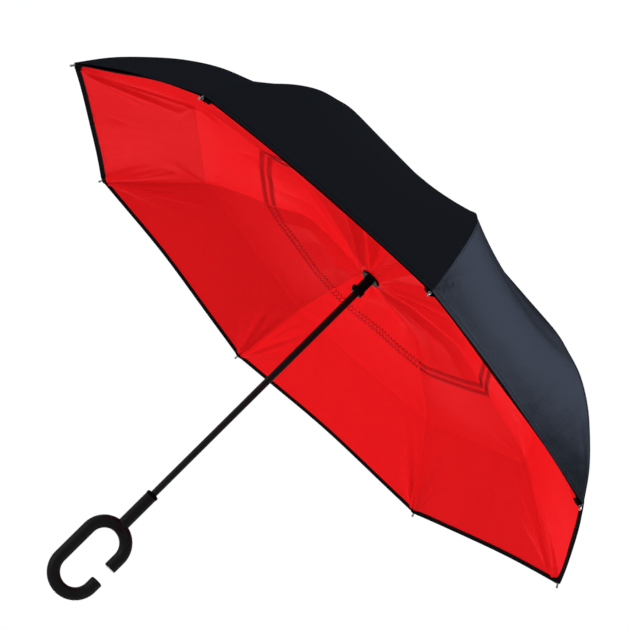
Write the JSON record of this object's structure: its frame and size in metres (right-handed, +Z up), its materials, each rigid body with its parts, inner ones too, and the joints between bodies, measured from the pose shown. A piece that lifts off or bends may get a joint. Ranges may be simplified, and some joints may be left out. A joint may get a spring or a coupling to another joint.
{
  "type": "inverted umbrella",
  "caption": "Inverted umbrella, shown open: black outer and red inner canopy on folding ribs, a sliding runner on a straight shaft and a C-shaped handle.",
  "frame": {"origin": "centre of the C-shaped handle's opening, on the shaft's axis", "axes": "+Z up the shaft to the crown, +X towards the handle's mouth"},
  "size_m": [1.0624, 1.0624, 0.8302],
  "materials": {
    "rubberised_black": "matt rubberised coating",
    "black_plastic": "moulded, satin",
    "painted_steel": "black lacquer",
    "bare_steel": "drawn wire",
    "plated_tip": "plated",
    "black_pongee": "tight plain weave",
    "red_pongee": "tight plain weave, satin"
  },
  "bodies": {
    "root": {"shaft": "painted_steel", "handle_grip": "rubberised_black", "neck_collar": "black_plastic", "top_notch": "black_plastic", "notch_wire": "bare_steel", "crown_cap": "black_plastic", "canopy_washer": "black_plastic"},
    "runner": {"runner_sleeve": "black_plastic", "runner_hub": "black_plastic", "runner_wire": "bare_steel", "button_spring": "bare_steel"},
    "button": {"release_button": "black_plastic"},
    "strut_1": {"top_strut_1": "painted_steel"},
    "rib_1": {"outer_rib_1": "painted_steel", "rib_tip_1": "plated_tip", "outer_panel_1": "black_pongee"},
    "arm_1": {"lower_arm_1": "painted_steel", "inner_panel_1": "red_pongee"},
    "strut_2": {"top_strut_2": "painted_steel"},
    "rib_2": {"outer_rib_2": "painted_steel", "rib_tip_2": "plated_tip", "outer_panel_2": "black_pongee"},
    "arm_2": {"lower_arm_2": "painted_steel", "inner_panel_2": "red_pongee"},
    "strut_3": {"top_strut_3": "painted_steel"},
    "rib_3": {"outer_rib_3": "painted_steel", "rib_tip_3": "plated_tip", "outer_panel_3": "black_pongee"},
    "arm_3": {"lower_arm_3": "painted_steel", "inner_panel_3": "red_pongee"},
    "strut_4": {"top_strut_4": "painted_steel"},
    "rib_4": {"outer_rib_4": "painted_steel", "rib_tip_4": "plated_tip", "outer_panel_4": "black_pongee"},
    "arm_4": {"lower_arm_4": "painted_steel", "inner_panel_4": "red_pongee"},
    "strut_5": {"top_strut_5": "painted_steel"},
    "rib_5": {"outer_rib_5": "painted_steel", "rib_tip_5": "plated_tip", "outer_panel_5": "black_pongee"},
    "arm_5": {"lower_arm_5": "painted_steel", "inner_panel_5": "red_pongee"},
    "strut_6": {"top_strut_6": "painted_steel"},
    "rib_6": {"outer_rib_6": "painted_steel", "rib_tip_6": "plated_tip", "outer_panel_6": "black_pongee"},
    "arm_6": {"lower_arm_6": "painted_steel", "inner_panel_6": "red_pongee"},
    "strut_7": {"top_strut_7": "painted_steel"},
    "rib_7": {"outer_rib_7": "painted_steel", "rib_tip_7": "plated_tip", "outer_panel_7": "black_pongee"},
    "arm_7": {"lower_arm_7": "painted_steel", "inner_panel_7": "red_pongee"},
    "strut_8": {"top_strut_8": "painted_steel"},
    "rib_8": {"outer_rib_8": "painted_steel", "rib_tip_8": "plated_tip", "outer_panel_8": "black_pongee"},
    "arm_8": {"lower_arm_8": "painted_steel", "inner_panel_8": "red_pongee"}
  },
  "joints": [
    {"name": "runner_slide", "type": "slide", "parent": "root", "child": "runner", "axis": [0, 0, -1], "range_m": [0, 0.38889]},
    {"name": "strut_hinge_1", "type": "hinge", "parent": "root", "child": "strut_1", "pos_m": [0.018, 0, 0.74148], "axis": [0, 1, 0], "range_deg": [0, 70.15]},
    {"name": "knee_hinge_1", "type": "hinge", "parent": "strut_1", "child": "rib_1", "pos_m": [0.30199, 0, 0.66611], "axis": [0, -1, 0], "range_deg": [0, 194.15], "deforming": ["outer_panel_1"]},
    {"name": "knuckle_hinge_1", "type": "hinge", "parent": "rib_1", "child": "arm_1", "pos_m": [0.3657, 0, 0.58391], "axis": [0, 1, 0], "range_deg": [0, 42.06], "deforming": ["inner_panel_1"]},
    {"name": "strut_hinge_2", "type": "hinge", "parent": "root", "child": "strut_2", "pos_m": [0.01273, 0.01273, 0.74148], "axis": [-0.7071, 0.7071, 0], "range_deg": [0, 70.15]},
    {"name": "knee_hinge_2", "type": "hinge", "parent": "strut_2", "child": "rib_2", "pos_m": [0.21354, 0.21354, 0.66611], "axis": [0.7071, -0.7071, 0], "range_deg": [0, 194.15], "deforming": ["outer_panel_2"]},
    {"name": "knuckle_hinge_2", "type": "hinge", "parent": "rib_2", "child": "arm_2", "pos_m": [0.25859, 0.25859, 0.58391], "axis": [-0.7071, 0.7071, 0], "range_deg": [0, 42.06], "deforming": ["inner_panel_2"]},
    {"name": "strut_hinge_3", "type": "hinge", "parent": "root", "child": "strut_3", "pos_m": [0, 0.018, 0.74148], "axis": [-1, 0, 0], "range_deg": [0, 70.15]},
    {"name": "knee_hinge_3", "type": "hinge", "parent": "strut_3", "child": "rib_3", "pos_m": [0, 0.30199, 0.66611], "axis": [1, 0, 0], "range_deg": [0, 194.15], "deforming": ["outer_panel_3"]},
    {"name": "knuckle_hinge_3", "type": "hinge", "parent": "rib_3", "child": "arm_3", "pos_m": [0, 0.3657, 0.58391], "axis": [-1, 0, 0], "range_deg": [0, 42.06], "deforming": ["inner_panel_3"]},
    {"name": "strut_hinge_4", "type": "hinge", "parent": "root", "child": "strut_4", "pos_m": [-0.01273, 0.01273, 0.74148], "axis": [-0.7071, -0.7071, 0], "range_deg": [0, 70.15]},
    {"name": "knee_hinge_4", "type": "hinge", "parent": "strut_4", "child": "rib_4", "pos_m": [-0.21354, 0.21354, 0.66611], "axis": [0.7071, 0.7071, 0], "range_deg": [0, 194.15], "deforming": ["outer_panel_4"]},
    {"name": "knuckle_hinge_4", "type": "hinge", "parent": "rib_4", "child": "arm_4", "pos_m": [-0.25859, 0.25859, 0.58391], "axis": [-0.7071, -0.7071, 0], "range_deg": [0, 42.06], "deforming": ["inner_panel_4"]},
    {"name": "strut_hinge_5", "type": "hinge", "parent": "root", "child": "strut_5", "pos_m": [-0.018, 0, 0.74148], "axis": [0, -1, 0], "range_deg": [0, 70.15]},
    {"name": "knee_hinge_5", "type": "hinge", "parent": "strut_5", "child": "rib_5", "pos_m": [-0.30199, 0, 0.66611], "axis": [0, 1, 0], "range_deg": [0, 194.15], "deforming": ["outer_panel_5"]},
    {"name": "knuckle_hinge_5", "type": "hinge", "parent": "rib_5", "child": "arm_5", "pos_m": [-0.3657, 0, 0.58391], "axis": [0, -1, 0], "range_deg": [0, 42.06], "deforming": ["inner_panel_5"]},
    {"name": "strut_hinge_6", "type": "hinge", "parent": "root", "child": "strut_6", "pos_m": [-0.01273, -0.01273, 0.74148], "axis": [0.7071, -0.7071, 0], "range_deg": [0, 70.15]},
    {"name": "knee_hinge_6", "type": "hinge", "parent": "strut_6", "child": "rib_6", "pos_m": [-0.21354, -0.21354, 0.66611], "axis": [-0.7071, 0.7071, 0], "range_deg": [0, 194.15], "deforming": ["outer_panel_6"]},
    {"name": "knuckle_hinge_6", "type": "hinge", "parent": "rib_6", "child": "arm_6", "pos_m": [-0.25859, -0.25859, 0.58391], "axis": [0.7071, -0.7071, 0], "range_deg": [0, 42.06], "deforming": ["inner_panel_6"]},
    {"name": "strut_hinge_7", "type": "hinge", "parent": "root", "child": "strut_7", "pos_m": [0, -0.018, 0.74148], "axis": [1, 0, 0], "range_deg": [0, 70.15]},
    {"name": "knee_hinge_7", "type": "hinge", "parent": "strut_7", "child": "rib_7", "pos_m": [0, -0.30199, 0.66611], "axis": [-1, 0, 0], "range_deg": [0, 194.15], "deforming": ["outer_panel_7"]},
    {"name": "knuckle_hinge_7", "type": "hinge", "parent": "rib_7", "child": "arm_7", "pos_m": [0, -0.3657, 0.58391], "axis": [1, 0, 0], "range_deg": [0, 42.06], "deforming": ["inner_panel_7"]},
    {"name": "strut_hinge_8", "type": "hinge", "parent": "root", "child": "strut_8", "pos_m": [0.01273, -0.01273, 0.74148], "axis": [0.7071, 0.7071, 0], "range_deg": [0, 70.15]},
    {"name": "knee_hinge_8", "type": "hinge", "parent": "strut_8", "child": "rib_8", "pos_m": [0.21354, -0.21354, 0.66611], "axis": [-0.7071, -0.7071, 0], "range_deg": [0, 194.15], "deforming": ["outer_panel_8"]},
    {"name": "knuckle_hinge_8", "type": "hinge", "parent": "rib_8", "child": "arm_8", "pos_m": [0.25859, -0.25859, 0.58391], "axis": [0.7071, 0.7071, 0], "range_deg": [0, 42.06], "deforming": ["inner_panel_8"]},
    {"name": "release_button_press", "type": "slide", "parent": "runner", "child": "button", "axis": [0.9239, 0.3827, 0], "range_m": [0, 0.0012], "stiffness_N_per_m": 600, "springref_m": -0.0005, "deforming": ["button_spring"]}
  ],
  "couplings": [
    {"joint": "strut_hinge_1", "follows": "runner_slide", "rad_per_m": 3.1478},
    {"joint": "knee_hinge_1", "follows": "runner_slide", "rad_per_m": 8.7129},
    {"joint": "knuckle_hinge_1", "follows": "runner_slide", "rad_per_m": 1.8868},
    {"joint": "strut_hinge_2", "follows": "runner_slide", "rad_per_m": 3.1478},
    {"joint": "knee_hinge_2", "follows": "runner_slide", "rad_per_m": 8.7129},
    {"joint": "knuckle_hinge_2", "follows": "runner_slide", "rad_per_m": 1.8868},
    {"joint": "strut_hinge_3", "follows": "runner_slide", "rad_per_m": 3.1478},
    {"joint": "knee_hinge_3", "follows": "runner_slide", "rad_per_m": 8.7129},
    {"joint": "knuckle_hinge_3", "follows": "runner_slide", "rad_per_m": 1.8868},
    {"joint": "strut_hinge_4", "follows": "runner_slide", "rad_per_m": 3.1478},
    {"joint": "knee_hinge_4", "follows": "runner_slide", "rad_per_m": 8.7129},
    {"joint": "knuckle_hinge_4", "follows": "runner_slide", "rad_per_m": 1.8868},
    {"joint": "strut_hinge_5", "follows": "runner_slide", "rad_per_m": 3.1478},
    {"joint": "knee_hinge_5", "follows": "runner_slide", "rad_per_m": 8.7129},
    {"joint": "knuckle_hinge_5", "follows": "runner_slide", "rad_per_m": 1.8868},
    {"joint": "strut_hinge_6", "follows": "runner_slide", "rad_per_m": 3.1478},
    {"joint": "knee_hinge_6", "follows": "runner_slide", "rad_per_m": 8.7129},
    {"joint": "knuckle_hinge_6", "follows": "runner_slide", "rad_per_m": 1.8868},
    {"joint": "strut_hinge_7", "follows": "runner_slide", "rad_per_m": 3.1478},
    {"joint": "knee_hinge_7", "follows": "runner_slide", "rad_per_m": 8.7129},
    {"joint": "knuckle_hinge_7", "follows": "runner_slide", "rad_per_m": 1.8868},
    {"joint": "strut_hinge_8", "follows": "runner_slide", "rad_per_m": 3.1478},
    {"joint": "knee_hinge_8", "follows": "runner_slide", "rad_per_m": 8.7129},
    {"joint": "knuckle_hinge_8", "follows": "runner_slide", "rad_per_m": 1.8868}
  ]
}
